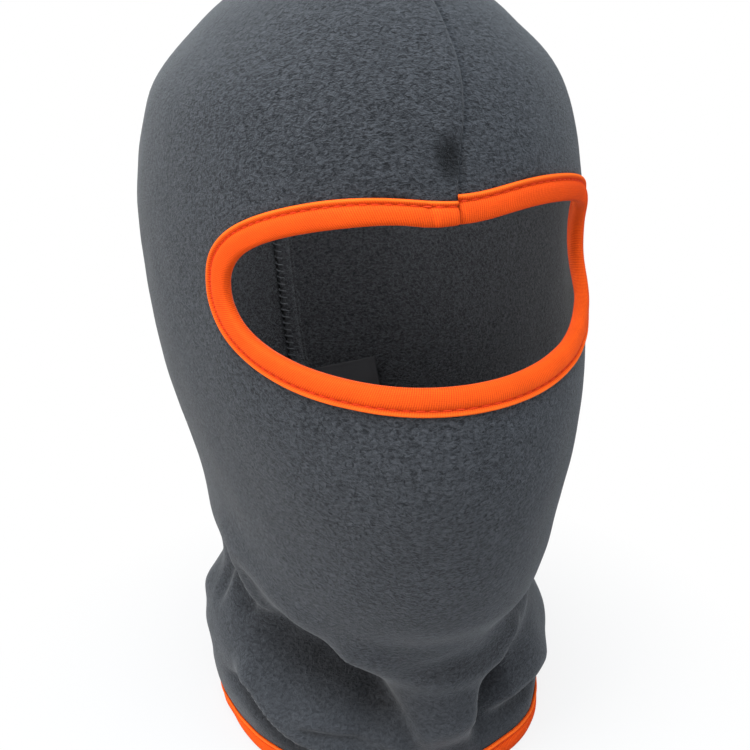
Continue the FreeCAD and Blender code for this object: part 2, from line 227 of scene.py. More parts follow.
def mound(turn, level, place, height, wide, tall):
    """A soft bulge, or a hollow where height is negative, about a place in degrees and millimetres."""
    middle = math.radians(place[0])
    around = (turn - middle + math.pi) % (2 * math.pi) - math.pi
    off = (around * NECK_RADIUS / (wide * MM)) ** 2 + ((level - place[1] * MM) / (tall * MM)) ** 2
    return height * MM * np.exp(-off)


def jaw_folds(turn, level):
    """The soft edge under the jaw, and the hollow that it shades on the left."""
    jaw = [(-96, 88), (-75, 84), (-62, 79), (-50, 72), (-38, 63), (-29, 54), (-20, 47), (-8, 43), (4, 40)]
    jaw += [(14, 39), (24, 42), (33, 49), (44, 58), (58, 68), (76, 80)]
    total = fold(turn, level, jaw, 3.0, 9, 5.5, 0.1)
    hollow = [(-80, 54), (-66, 49), (-54, 46), (-42, 43), (-31, 39), (-23, 33), (-16, 25), (-11, 15)]
    total += fold(turn, level, hollow, -13.5, 10, 13, 0.25)
    total += mound(turn, level, (-40, 42), -4.0, 20, 10)
    total += fold(turn, level, [(-74, 84), (-71, 72), (-67, 61), (-62, 52)], 3.0, 5, 3, 0.25)
    total += fold(turn, level, [(-90, 74), (-84, 64), (-77, 56), (-70, 50)], -4.0, 3.5, 5, 0.25)
    return total


def tension_folds(turn, level):
    """Two ridges that run from the jaw down to the middle of the hem, with a flat panel between them."""
    left = [(-36, 62), (-30, 55), (-25, 48), (-20, 41), (-15.5, 34), (-11.5, 28), (-8, 19), (-5, 6)]
    right = [(32, 54), (25, 47), (18, 39), (11.5, 31), (8, 22), (5, 8)]
    total = fold(turn, level, left, 6.4, 12, 2.6, 0.2)
    total += fold(turn, level, right, 4.8, 3.0, 11, 0.2)
    total += fold(turn, level, [(23, 36), (17, 28), (13, 19), (10, 10)], -6.0, 5, 5, 0.25)
    total += fold(turn, level, [(-2, 52), (0, 42), (0, 31), (0, 20), (0, 8)], 6.0, 12, 12, 0.35)
    total += mound(turn, level, (-2, 57), 8.5, 28, 9)
    return total


def hem_folds(turn, level):
    """Rolled folds of the loose fabric just above the hem."""
    roll = [(-78, 29), (-66, 28), (-57, 22), (-48, 16), (-36, 13), (-20, 12)]
    total = fold(turn, level, roll, 5.0, 8, 2.4, 0.2)
    total += fold(turn, level, [(-86, 21), (-70, 20), (-58, 14), (-47, 9.5), (-30, 8)], -4.2, 3.0, 4, 0.2)
    total += fold(turn, level, [(-50, 22), (-40, 21.5), (-29, 20), (-18, 16), (-9, 12)], 3.2, 4, 1.8, 0.2)
    total += fold(turn, level, [(-46, 18.5), (-34, 17), (-22, 14)], -2.2, 2, 2, 0.25)
    total += fold(turn, level, [(6, 9), (16, 11), (30, 12), (46, 14)], -5.0, 4.5, 4.5, 0.25)
    total += fold(turn, level, [(18, 20), (28, 20.5), (40, 21), (56, 23)], 3.0, 8, 4, 0.25)
    return total


def side_folds(turn, level):
    """Bulges and creases at the sides and the back of the neck."""
    total = mound(turn, level, (-98, 44), 3.6, 24, 17)
    total += fold(turn, level, [(-88, 80), (-90, 68), (-92, 56), (-91, 44)], -2.8, 4, 3.4, 0.25)
    total += mound(turn, level, (58, 29), 4.6, 26, 15)
    total += mound(turn, level, (37, 34), 3.4, 13, 13)
    total += fold(turn, level, [(62, 66), (78, 60), (98, 57), (120, 58)], -3.0, 5, 7, 0.25)
    total += fold(turn, level, [(104, 50), (128, 44), (152, 43), (176, 46), (198, 50)], 3.2, 6, 7, 0.2)
    total += fold(turn, level, [(128, 62), (150, 56), (172, 57), (196, 62), (216, 66)], -2.8, 5, 5, 0.2)
    total += fold(turn, level, [(118, 30), (142, 27), (168, 30), (192, 33), (214, 31)], -2.6, 6, 5, 0.2)
    total += fold(turn, level, [(140, 76), (160, 71), (182, 72), (206, 77)], 2.0, 8, 5, 0.2)
    total += fold(turn, level, [(206, 54), (226, 48), (246, 46), (262, 50)], 2.6, 7, 7, 0.2)
    total += fold(turn, level, [(204, 20), (226, 17), (248, 21), (268, 27)], -2.0, 5, 5, 0.2)
    return total


def seam_drift(turn, level):
    """How far the worn seam lies to -X; it leans to +X over the crown and comes back down the nape."""
    above = np.maximum(level - OPENING_LEVEL - OPENING_RISE, 0)
    front = SEAM_DRIFT * np.exp(-((above / (24 * MM)) ** 2)) - SEAM_LEAN * smoothstep(above / (50 * MM))
    back = -SEAM_LEAN * smoothstep((level - OPENING_LEVEL - 15 * MM) / (70 * MM))
    return np.where(np.cos(turn) > 0, front, back)


def opening_pull(turn, level):
    """Depth, as a negative height, to which the tight binding pulls the fleece in beside the opening."""
    beyond = np.maximum(np.abs(turn) - math.radians(30), 0) / math.radians(30)
    around = (np.abs(turn) - PULL_ANGLE) / math.radians(15)
    above = (level - OPENING_LEVEL) / (32 * MM)
    depth = np.where(turn > 0, PULL_LEFT, PULL_RIGHT)
    return -depth * smoothstep(beyond) * np.exp(-(around**2 + above**2))


def seam_relief(turn, level, across):
    """The seam's groove, the raised allowance on its -X side and the dent beside it on the forehead."""
    sewn = np.where(np.cos(turn) > 0, smoothstep((level - OPENING_LEVEL) / (8 * MM)), 1.0)
    across = across + seam_drift(turn, level)
    groove = -SEAM_GROOVE * np.exp(-((across / SEAM_GROOVE_HALF) ** 2))
    raised = 0.7 * MM * smoothstep((across + 8.6 * MM) / (2.4 * MM)) * smoothstep(-across / (0.8 * MM))
    pucker = 0.12 * MM * np.exp(-((across / (3 * MM)) ** 2)) * np.sin(level / (1.1 * MM))
    dent_level = OPENING_LEVEL + OPENING_RISE + DENT_RISE
    away = ((across + DENT_ACROSS) / DENT_HALF_WIDTH) ** 2 + ((level - dent_level) / DENT_HALF_HEIGHT) ** 2
    front = np.where(np.cos(turn) > 0, 1.0, 0.0)
    return sewn * (groove + raised + pucker) - DENT_DEPTH * np.exp(-away) * front


def unevenness(points):
    """Slow waves of the fabric, the same each time."""
    places = [Vector(place) for place in points.reshape(-1, 3)]
    slow = np.array([noise.noise(place / 0.035) for place in places]).reshape(points.shape[:-1])
    quick = np.array([noise.noise(place / 0.011) for place in places]).reshape(points.shape[:-1])
    low = 1 - smoothstep((points[..., 2] - 0.06) / 0.04)
    return (0.7 + 0.9 * low) * MM * slow + (0.22 + 0.2 * low) * MM * quick


class Field:
    """A height over (turn, level), worked out once on an even grid and read between its points."""

    def __init__(self, make, turn_pitch, level_pitch, top):
        self.columns = round(2 * math.pi / turn_pitch)
        self.level_pitch = level_pitch
        levels = np.arange(0, top + 2 * level_pitch, level_pitch)
        turns = np.arange(self.columns) * 2 * math.pi / self.columns - math.pi
        self.values = make(*np.meshgrid(turns, levels))

    def read(self, turn, level):
        column = ((turn + math.pi) / (2 * math.pi) * self.columns) % self.columns
        row = np.clip(level / self.level_pitch, 0, len(self.values) - 1.001)
        left, low = column.astype(int) % self.columns, row.astype(int)
        right, across, up = (left + 1) % self.columns, column - np.floor(column), row - low
        lower = self.values[low, left] * (1 - across) + self.values[low, right] * across
        upper = self.values[low + 1, left] * (1 - across) + self.values[low + 1, right] * across
        return lower * (1 - up) + upper * up


def neck_folds(turn, level):
    """All the folds around the neck; they fade out at the hem's edge and above the jaw."""
    level = level - FOLD_BASE
    total = sum(folds(turn, level) for folds in (jaw_folds, tension_folds, hem_folds, side_folds))
    return total * smoothstep((level + 6 * MM) / (22 * MM)) * (1 - smoothstep((level - 105 * MM) / (15 * MM)))


FOLDS = Field(neck_folds, math.radians(0.75), 0.6 * MM, 122 * MM)
WAVES = Field(lambda turn, level: unevenness(bare_surface(turn, level)), math.radians(2), 3 * MM, TOP)


def relief(turn, level):
    """How far the worn fabric stands off the bare surface, apart from the neck's folds."""
    bare = bare_surface(turn, level)
    return WAVES.read(turn, level) + opening_pull(turn, level) + seam_relief(turn, level, bare[..., 0])


def fabric(turn, level, height=0.0):
    """Points at a height above the folded outside of the fleece."""
    turn, level = np.broadcast_arrays(np.asarray(turn, float), np.asarray(level, float))
    off = np.asarray(relief(turn, level) + height)
    outwards = np.stack([np.sin(turn), -np.cos(turn), 0 * turn], axis=-1)
    points = bare_surface(turn, level) + outwards * FOLDS.read(turn, level)[..., None]
    return points + surface_normal(turn, level) * off[..., None]


# ---- Mesh helpers ----------------------------------------------------------------------------------------


def new_piece(name, points, faces, material, uvs=None, closed=True):
    """A smooth-shaded mesh object; uvs holds one (along, across) pair in metres for each point."""
    mesh = bpy.data.meshes.new(name)
    mesh.from_pydata(np.asarray(points).tolist(), [], [tuple(int(i) for i in face) for face in faces])
    if uvs is not None:
        layer = mesh.uv_layers.new(name="cloth")
        corners = np.zeros(len(mesh.loops), dtype=np.int32)
        mesh.loops.foreach_get("vertex_index", corners)
        layer.data.foreach_set("uv", np.asarray(uvs, dtype=np.float32)[corners].ravel())
    if closed:
        shape = bmesh.new()
        shape.from_mesh(mesh)
        bmesh.ops.recalc_face_normals(shape, faces=shape.faces)
        shape.to_mesh(mesh)
        shape.free()
    mesh.shade_smooth()
    mesh.materials.append(material)
    piece = bpy.data.objects.new(name, mesh)
    bpy.context.collection.objects.link(piece)
    return piece


def apply_modifiers(piece):
    """Bakes a piece's modifiers into its mesh."""
    bpy.context.view_layer.update()
    evaluated = piece.evaluated_get(bpy.context.evaluated_depsgraph_get())
    final = bpy.data.meshes.new_from_object(evaluated)
    piece.modifiers.clear()
    piece.data = final


def grid_faces(rows, columns, wrap_columns=False, wrap_rows=False):
    """Quads of a grid of points that is numbered row by row."""
    faces = []
    for i in range(rows if wrap_rows else rows - 1):
        for j in range(columns if wrap_columns else columns - 1):
            below, right = (i + 1) % rows, (j + 1) % columns
            faces.append((i * columns + j, i * columns + right, below * columns + right, below * columns + j))
    return faces


def tube(path, normals, radii, sides=6):
    """Points and faces of a thread along a path; normals say which way is up at each of its points."""
    path, normals = np.asarray(path), np.asarray(normals)
    along = np.gradient(path, axis=0)
    along /= np.linalg.norm(along, axis=1, keepdims=True)
    beside = np.cross(along, normals)
    beside /= np.linalg.norm(beside, axis=1, keepdims=True)
    up = np.cross(beside, along)
    angles = 2 * math.pi * np.arange(sides) / sides
    radii = np.broadcast_to(radii, len(path))
    rings = [
        path[k] + radii[k] * (np.outer(np.cos(angles), beside[k]) + np.outer(np.sin(angles), up[k]))
        for k in range(len(path))
    ]
    faces = grid_faces(len(path), sides, wrap_columns=True)
    last = (len(path) - 1) * sides
    faces.append(tuple(range(sides)))
    faces.append(tuple(range(last, last + sides)))
    return np.vstack(rings), faces


def joined(parts):
    """Points and faces of several parts as one."""
    points, faces, count = [], [], 0
    for part_points, part_faces in parts:
        points.append(part_points)
        faces += [tuple(i + count for i in face) for face in part_faces]
        count += len(part_points)
    return np.vstack(points), faces


# ---- Materials -------------------------------------------------------------------------------------------


class Nodes:
    """Builds one material's node tree; a socket given as an input's value is linked to it."""

    def __init__(self, name):
        self.material = bpy.data.materials.new(name)
        self.material.use_nodes = True
        self.tree = self.material.node_tree
        self.tree.nodes.clear()

    def add(self, kind, inputs=None, **settings):
        node = self.tree.nodes.new(kind)
        for key, value in settings.items():
            setattr(node, key, value)
        for key, value in (inputs or {}).items():
            if isinstance(value, bpy.types.NodeSocket):
                self.tree.links.new(value, node.inputs[key])
            else:
                node.inputs[key].default_value = value
        return node

    def math(self, operation, *values, clamp=False):
        inputs = dict(enumerate(values))
        return self.add("ShaderNodeMath", inputs, operation=operation, use_clamp=clamp).outputs[0]

    def vector(self, operation, *values):
        inputs = dict(enumerate(values))
        return self.add("ShaderNodeVectorMath", inputs, operation=operation).outputs[0]

    def length(self, place):
        return self.add("ShaderNodeVectorMath", {0: place}, operation="LENGTH").outputs["Value"]

    def noise(self, place, scale, detail=2.0, roughness=0.5, distortion=0.0):
        inputs = {"Vector": place, "Scale": scale, "Detail": detail, "Roughness": roughness}
        inputs["Distortion"] = distortion
        return self.add("ShaderNodeTexNoise", inputs).outputs[0]

    def mix(self, share, first, second, blend="MIX"):
        node = self.add("ShaderNodeMix", {0: share, 6: first, 7: second}, data_type="RGBA", blend_type=blend)
        return node.outputs[2]

    def place(self):
        return self.add("ShaderNodeTexCoord").outputs["Object"]

    def cloth(self):
        node = self.add("ShaderNodeUVMap", uv_map="cloth")
        return self.add("ShaderNodeSeparateXYZ", {0: node.outputs[0]}).outputs

    def bump(self, height, distance, strength=1.0):
        inputs = {"Height": height, "Distance": distance, "Strength": strength}
        return self.add("ShaderNodeBump", inputs).outputs[0]

    def finish(self, inputs):
        shader = self.add("ShaderNodeBsdfPrincipled", inputs)
        self.add("ShaderNodeOutputMaterial", {"Surface": shader.outputs[0]})
        return self.material


def darkened(n, colour, shade):
    """A colour times a grey shade."""
    grey = n.add("ShaderNodeCombineXYZ", {0: shade, 1: shade, 2: shade}).outputs[0]
    return n.mix(1.0, colour, grey, "MULTIPLY")


def dent_painted_shade_mask(n, place):
    """Mask of the painted shade in the puckered dent on the forehead: 1 in its middle, falling to 0 around
    it.
    """
    level = OPENING_LEVEL + OPENING_RISE + DENT_RISE
    middle = fabric(-(seam_drift(0.0, level) + DENT_ACROSS) / SEAM_RADIUS, level)
    size = (DENT_HALF_WIDTH * 1.5, 14 * MM, DENT_HALF_HEIGHT * 1.4)
    off = n.vector("SUBTRACT", place, tuple(float(v) for v in middle))
    away = n.length(n.vector("DIVIDE", off, size))
    inside = n.math("MAXIMUM", n.math("MULTIPLY", n.math("SUBTRACT", 1.25, away), 1.3), 0.0)
    return n.math("SMOOTH_MIN", 1.0, inside, 0.2)


NUBS_FULL_ABOVE = 150 * MM  # the brushed nubs are flatter on the loose neck than on the stretched hood
NUB_STRETCH = (1.0, 1.0, 1.6)  # nubs are wider than they are tall
NUBS_PER_METRE, SMALL_NUBS_PER_METRE, FIBRES_PER_METRE = 640, 1500, 3800
# painted shade and light: the pile's pits take the darker colour and its nub tips the lighter one
PIT_SHADED_COLOUR = (0.0125, 0.0132, 0.015, 1)
TIP_LIT_COLOUR = (0.060, 0.063, 0.070, 1)
PAINTED_SHEEN_COLOUR = (0.19, 0.19, 0.19, 1)
# how much painted shade darkens the forehead dent
DENT_PAINTED_SHADE = 0.78
FOLD_REACH = 28 * MM  # painted shade: fabric hidden within this distance is painted darker, by up to the share below
FOLD_SHADE = 0.62


def fleece_material():
    """Matte short pile with small worm-like nubs; painted shade in their pits and painted light on their
    tips, random patches of tone, painted shade in folds and in the forehead dent, and a painted sheen at a
    low angle of view.
    """
    n = Nodes("fleece_pile")
    place = n.place()
    wide = n.vector("MULTIPLY", place, NUB_STRETCH)
    nubs = n.noise(wide, NUBS_PER_METRE, 2.0, 0.5, 0.7)
    small = n.noise(wide, SMALL_NUBS_PER_METRE, 2.0, 0.6, 0.4)
    fibres = n.noise(place, FIBRES_PER_METRE, 2.0, 0.6)
    height = n.math("ADD", nubs, n.math("MULTIPLY", small, 0.5))
    rough = n.math("SUBTRACT", n.math("ADD", height, n.math("MULTIPLY", fibres, 0.16)), 0.83)
    level = n.add("ShaderNodeSeparateXYZ", {0: place}).outputs[2]
    stretched = n.math("ADD", n.math("DIVIDE", level, NUBS_FULL_ABOVE), 0.30, clamp=True)
    rough = n.math("MULTIPLY", rough, stretched)
    # painted shade in the nubs' pits and painted light on their tips, from the nub height
    tone = n.math("ADD", n.math("MULTIPLY", rough, 2.5), 0.5, clamp=True)
    colour = n.mix(tone, PIT_SHADED_COLOUR, TIP_LIT_COLOUR)
    patches = n.noise(place, 26, 3.0, 0.55)
    shade = n.math("ADD", n.math("MULTIPLY", patches, 0.30), 0.85)
    # painted shade darkens the puckered dent on the forehead
    dent_shade_factor = n.math("SUBTRACT", 1.0, n.math("MULTIPLY", dent_painted_shade_mask(n, place), DENT_PAINTED_SHADE))
    shade = n.math("MULTIPLY", shade, dent_shade_factor)
    # painted shade in folds and hollows, where nearby fabric hides the light
    open_sky = n.add("ShaderNodeAmbientOcclusion", {"Distance": FOLD_REACH}, samples=6).outputs["AO"]
    lit = n.math("ADD", n.math("MULTIPLY", open_sky, FOLD_SHADE), 1 - FOLD_SHADE)
    shade = n.math("MULTIPLY", shade, lit)
    colour = darkened(n, colour, shade)
    # painted sheen: the colour is lighter towards a low angle of view
    facing = n.add("ShaderNodeLayerWeight", {"Blend": 0.3}).outputs["Facing"]
    rim = n.math("MULTIPLY", n.math("POWER", facing, 2.0), 0.85)
    colour = n.mix(rim, colour, PAINTED_SHEEN_COLOUR)
    return n.finish({
        "Base Color": colour,
        "Roughness": 0.95,
        "Specular IOR Level": 0.12,
        "Sheen Weight": 0.10,
        "Sheen Roughness": 0.4,
        "Sheen Tint": (0.72, 0.78, 0.86, 1),
        "Normal": n.bump(rough, 2.3 * MM, 1.0),
    })


RIB_PITCH = 0.75 * MM
ROW_PITCH = 0.55 * MM
# the knit's ribs are painted darker in their valleys as shade and lighter on their crests as painted light;
# the grain adds random tone
KNIT_DARK = (0.46, 0.026, 0.002, 1)
KNIT_LIGHT = (0.80, 0.098, 0.004, 1)
# painted highlight along the tape's raised outer lip
LIP_PAINTED_HIGHLIGHT = (0.93, 0.17, 0.016, 1)
# painted shade in the stitched groove beside the lip
GROOVE_PAINTED_SHADE = (0.36, 0.014, 0.001, 1)
LIP_AT, LIP_HALF = 1.7 * MM, 0.9 * MM  # places round the tape's section
GROOVE_AT, GROOVE_HALF = 3.5 * MM, 0.7 * MM


def stripe(n, across, middle, half):
    """1 along the middle of a stripe, falling to 0 at half its width on both sides."""
    away = n.math("ABSOLUTE", n.math("DIVIDE", n.math("SUBTRACT", across, middle), half))
    return n.math("MAXIMUM", n.math("SUBTRACT", 1.0, away), 0.0)


def binding_material():
    """Bright ribbed knit: ribs across the tape with painted shade in their valleys, a pale painted highlight
    along the lip and painted shade in the stitched groove.
    """
    n = Nodes("binding_knit")
    along, across = n.cloth()[:2]
    place = n.place()
    wave = n.math("SINE", n.math("MULTIPLY", along, 2 * math.pi / RIB_PITCH))
    rows = n.math("SINE", n.math("MULTIPLY", across, 2 * math.pi / ROW_PITCH))
    grain = n.noise(place, 1500, 3.0, 0.65)
    height = n.math("ADD", n.math("MULTIPLY", wave, 0.42), n.math("MULTIPLY", rows, 0.1))
    height = n.math("ADD", height, n.math("MULTIPLY", grain, 0.6))
    # painted shade in the rib valleys and painted light on the crests, with random grain tone
    tone = n.math("ADD", n.math("MULTIPLY", height, 0.75), 0.30, clamp=True)
    colour = n.mix(tone, KNIT_DARK, KNIT_LIGHT)
    # painted highlight along the lip
    colour = n.mix(n.math("MULTIPLY", stripe(n, across, LIP_AT, LIP_HALF), 0.6), colour, LIP_PAINTED_HIGHLIGHT)
    # painted shade in the stitched groove
    groove = stripe(n, across, GROOVE_AT, GROOVE_HALF)
    colour = n.mix(n.math("MULTIPLY", groove, 0.8), colour, GROOVE_PAINTED_SHADE)
    patches = n.noise(place, 90, 2.0, 0.5)
    colour = darkened(n, colour, n.math("ADD", n.math("MULTIPLY", patches, 0.3), 0.85))
    return n.finish({
        "Base Color": colour,
        "Roughness": 0.8,
        "Specular IOR Level": 0.12,
        "Normal": n.bump(height, 0.2 * MM, 0.8),
    })


def thread_material(name, dark, light):
    """Twisted sewing thread."""
    n = Nodes(name)
    place = n.place()
    twist = n.noise(place, 2600, 2.0, 0.6)
    return n.finish({
        "Base Color": n.mix(twist, dark, light),
        "Roughness": 0.7,
        "Specular IOR Level": 0.2,
        "Normal": n.bump(twist, 0.1 * MM, 0.7),
    })


def label_material():
    """Blank dark satin ribbon with a fine weave."""
    n = Nodes("label_satin")
    along, across = n.cloth()[:2]
    warp = n.math("SINE", n.math("MULTIPLY", along, 2 * math.pi / (0.3 * MM)))
    weft = n.math("SINE", n.math("MULTIPLY", across, 2 * math.pi / (0.42 * MM)))
    weave = n.math("MULTIPLY", warp, weft)
    tone = n.math("ADD", n.math("MULTIPLY", weave, 0.25), n.noise(n.place(), 60, 2.0, 0.5))
    return n.finish({
        "Base Color": n.mix(tone, (0.010, 0.010, 0.012, 1), (0.030, 0.031, 0.034, 1)),
        "Roughness": 0.6,
        "Specular IOR Level": 0.2,
        "Normal": n.bump(weave, 0.04 * MM, 0.6),
    })


FLEECE_PILE = fleece_material()
BINDING_KNIT = binding_material()
BINDING_THREAD = thread_material("binding_stitch_thread", (0.42, 0.018, 0.001, 1), (0.74, 0.055, 0.004, 1))
TACK_THREAD = thread_material("tack_thread", (0.62, 0.040, 0.002, 1), (0.88, 0.105, 0.008, 1))
SEAM_THREAD = thread_material("overlock_thread", (0.035, 0.038, 0.045, 1), (0.11, 0.12, 0.13, 1))
LABEL_SATIN = label_material()

# ---- The fleece ------------------------------------------------------------------------------------------

FLEECE_COLUMNS = 252
FLEECE_ROWS = 165
SEAM_COLUMNS = (-2.6 * MM, -1.7 * MM, -1.0 * MM, -0.5 * MM, 0.0, 0.5 * MM, 1.0 * MM, 1.7 * MM, 2.6 * MM)
FOOT = 1.6 * MM
CROWN_LEVEL = 270 * MM  # above here the outline is read in finer and finer steps, up to the top
CUT_BACK = 3.2 * MM  # from the opening's outline out to the fleece's raw edge, inside the folded tape


def opening_place(angle, widen):
    """(turn, level) on the eye opening's outline, moved outwards by widen."""
    across, up = np.cos(angle), np.sin(angle)
    power = np.where(up > 0, OPENING_TOP_ROUNDNESS, OPENING_BOTTOM_ROUNDNESS)
    reach = (np.abs(across) ** power + np.abs(up) ** power) ** (-1 / power)
    turn = (OPENING_HALF_ANGLE + widen / OPENING_SIDE_RADIUS) * reach * across
    height = widen + np.where(up > 0, OPENING_RISE, OPENING_DROP)
    level = OPENING_LEVEL + height * reach * up
    dip = FOREHEAD_DIP * np.exp(-((turn / DIP_ANGLE) ** 2))
    return turn, level - np.where(up > 0, dip, 0.0)


def in_opening(turn, level, widen):
    """Whether places are inside the opening's outline, moved outwards by widen."""
    dip = FOREHEAD_DIP * np.exp(-((turn / DIP_ANGLE) ** 2))
    above = level - OPENING_LEVEL
    above = np.where(above > 0, above + dip, above)
    height = widen + np.where(above > 0, OPENING_RISE, OPENING_DROP)
    half_angle = OPENING_HALF_ANGLE + widen / OPENING_SIDE_RADIUS
    power = np.where(above > 0, OPENING_TOP_ROUNDNESS, OPENING_BOTTOM_ROUNDNESS)
    return (np.abs(turn) / half_angle) ** power + (np.abs(above) / height) ** power < 1


def fleece_turns():
    """Columns of the fleece grid, closer together beside the two seams."""
    even = np.linspace(-math.pi, math.pi, FLEECE_COLUMNS, endpoint=False) + math.pi / FLEECE_COLUMNS
    margin = (max(SEAM_COLUMNS) + 1.2 * MM) / SEAM_RADIUS
    even = even[(np.abs(even) > margin) & (np.abs(even) < math.pi - margin)]
    near = np.array(SEAM_COLUMNS) / SEAM_RADIUS
    back = np.concatenate([near[near < 0] + math.pi, near[near >= 0] - math.pi])
    return np.sort(np.concatenate([even, near, back]))


def fleece_levels():
    """Rows of the fleece grid from the hem to the crown, closer on the folded neck and at the top."""
    below = np.linspace(FOOT, CROWN_LEVEL, 400)
    above = TOP - (TOP - CROWN_LEVEL) * np.linspace(1, 0, 300)[1:] ** 2
    fine = np.concatenate([below, above])
    radius = np.sqrt(np.array([np.interp(fine, LEVELS, column) for column in SQUARES]).mean(axis=0))
    closeness = 1 + 1.6 * (1 - smoothstep((fine[1:] - 90 * MM) / (30 * MM)))
    closeness += 1.5 * smoothstep((fine[1:] - TOP + 6 * MM) / (4 * MM))
    length = np.concatenate([[0], np.cumsum(np.hypot(np.diff(fine), np.diff(radius)) * closeness)])
    return np.interp(np.linspace(0, length[-1], FLEECE_ROWS + 1)[:-1], length, fine)


def beside_seam(turn, level):
    """Turns of the grid's columns, moved so that the middle ones follow the worn seam."""
    front, back = (np.sqrt(np.interp(level, LEVELS, column)) for column in SQUARES[1:])
    radius = np.where(np.cos(turn) > 0, front, back)
    aside = seam_drift(turn, level) / np.maximum(radius, 20 * MM)
    from_back = np.mod(turn, 2 * math.pi) - math.pi
    return turn - aside * np.exp(-((turn / 0.5) ** 2)) + aside * np.exp(-((from_back / 0.5) ** 2))


def fleece_shell():
    """The fleece from the hem to the crown, with the eye opening, in one piece."""
    turns, levels = fleece_turns(), fleece_levels()
    turn, level = np.meshgrid(turns, levels)
    turn = beside_seam(turn, level)
    points = fabric(turn, level)
    columns = len(turns)
    cut = in_opening(turn, level, CUT_BACK)
    faces = []
    for i in range(len(levels) - 1):
        for j in range(columns):
            right = (j + 1) % columns
            if not (cut[i, j] or cut[i, right] or cut[i + 1, j] or cut[i + 1, right]):
                below = i * columns
                faces.append((below + j, below + right, below + columns + right, below + columns + j))
    top = len(levels) * columns
    apex = np.array([[0.0, 0.0, points[-1, :, 2].mean() + 0.1 * MM]])
    last = (len(levels) - 1) * columns
    faces += [(last + j, last + (j + 1) % columns, top) for j in range(columns)]
    points = np.vstack([points.reshape(-1, 3), apex])
    used = np.unique(np.concatenate([np.array(face) for face in faces]))
    renumber = np.zeros(len(points), dtype=int)
    renumber[used] = np.arange(len(used))
    faces = [tuple(renumber[i] for i in face) for face in faces]
    piece = new_piece("fleece", points[used], faces, FLEECE_PILE, closed=False)
    thicken = piece.modifiers.new("thickness", "SOLIDIFY")
    thicken.thickness = FLEECE
    thicken.offset = -1
    apply_modifiers(piece)
    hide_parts("fleece_hood", "fleece_neck")
    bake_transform(piece)


# ---- The folded bindings ---------------------------------------------------------------------------------

SAMPLES_PER_RIB = 4
RIB_HEIGHT = 0.085 * MM
TACK_CREASE, TACK_CREASE_HALF = 0.4 * MM, 0.8 * MM
TACK_HOLLOW, TACK_HOLLOW_HALF = 0.15 * MM, 3 * MM


def tape_profile():
    """The folded tape's section as (widen, height) points, from its outer edge over the fold and back."""
    w, inner = TAPE_WIDTH, -FLEECE
    knots = [
        (w - 0.3 * MM, 0.0), (w + 0.15 * MM, 0.5 * MM), (w - 0.1 * MM, 1.1 * MM), (w - 0.75 * MM, 1.3 * MM),
        (w - 1.35 * MM, 0.9 * MM), (w - STITCH_INSET, 0.35 * MM), (w - 2.45 * MM, 0.85 * MM),
        (w - 3.3 * MM, 1.35 * MM), (w - 4.7 * MM, 1.55 * MM), (w - 6.3 * MM, 1.45 * MM),
        (0.5 * MM, 1.1 * MM), (-0.35 * MM, 0.3 * MM), (-0.7 * MM, -1.2 * MM), (-0.35 * MM, inner - 0.1 * MM),
        (0.5 * MM, inner - 0.9 * MM), (2.0 * MM, inner - 1.25 * MM), (4.0 * MM, inner - 1.25 * MM),
        (w - STITCH_INSET, inner - 0.6 * MM), (w - 0.9 * MM, inner - 1.0 * MM), (w, inner - 0.6 * MM),
        (w - 0.3 * MM, inner), (w - 3 * MM, inner + 0.3 * MM), (w - 4 * MM, -FLEECE / 2),
        (w - 3 * MM, -0.3 * MM),
    ]
    knots = np.array(knots)
    points = []
    for k in range(len(knots)):
        p, q, r, s = (knots[(k + step) % len(knots)] for step in (-1, 0, 1, 2))
        steps = 2 if k < 13 else 1
        for share in np.arange(steps) / steps:
            curve = 2 * q + (r - p) * share + (2 * p - 5 * q + 4 * r - s) * share**2
            points.append((curve + (3 * q - p - 3 * r + s) * share**3) / 2)
    return np.array(points)


def even_steps(track, count):
    """Parameters at even distances along a track of points that runs over 0..1, and the track's length."""
    fine = np.linspace(0, 1, 2400)
    points = track(fine)
    length = np.concatenate([[0], np.cumsum(np.linalg.norm(np.diff(points, axis=0), axis=1))])
    return np.interp(np.linspace(0, 1, count) * length[-1], length, fine), length[-1]


def tape_length(track):
    """Length of a tape along the middle of its visible width."""
    return even_steps(lambda s: track(s, TAPE_WIDTH / 2, 0.0), 2)[1]


def eye_angle(share):
    """The outline's angle, from the worn seam's place on the forehead round by +X and back to it."""
    start = math.pi / 2 + SEAM_DRIFT / (OPENING_HALF_ANGLE * SEAM_RADIUS)
    return start - 2 * math.pi * share


def eye_track(share, widen, height):
    """Points along the eye opening's tape; at the seam its -X end's outer edge sits below its +X end's."""
    turn, level = opening_place(eye_angle(share), widen)
    before_end = (1 - share) * EYE_TAPE_LENGTH
    fall = 1 - smoothstep(before_end / (28 * MM))
    bulge = 0.7 * MM * np.exp(-(((before_end - TACK_OFFSET) / (5 * MM)) ** 2))
    outer_share = np.clip(widen / TAPE_WIDTH, 0, 1)
    level = level - TAPE_STEP * fall * outer_share - bulge * (1 - outer_share)
    points = fabric(turn, level, height)
    points[..., 0] += TAPE_END_GAP * (np.exp(-share / 0.002) - np.exp(-(1 - share) / 0.002))
    return points


def hem_track(share, widen, height):
    """Points along the hem's tape, from the nape seam round by -X and back to it."""
    turn = -math.pi + 2 * math.pi * share
    level = np.maximum(widen, 0.0) + 0 * turn
    points = fabric(turn, np.maximum(level, FOOT), height)
    points[..., 2] = np.maximum(widen + 1.0 * MM, 0.02 * MM) - 0.6 * MM * smoothstep(widen / TAPE_WIDTH)
    return points


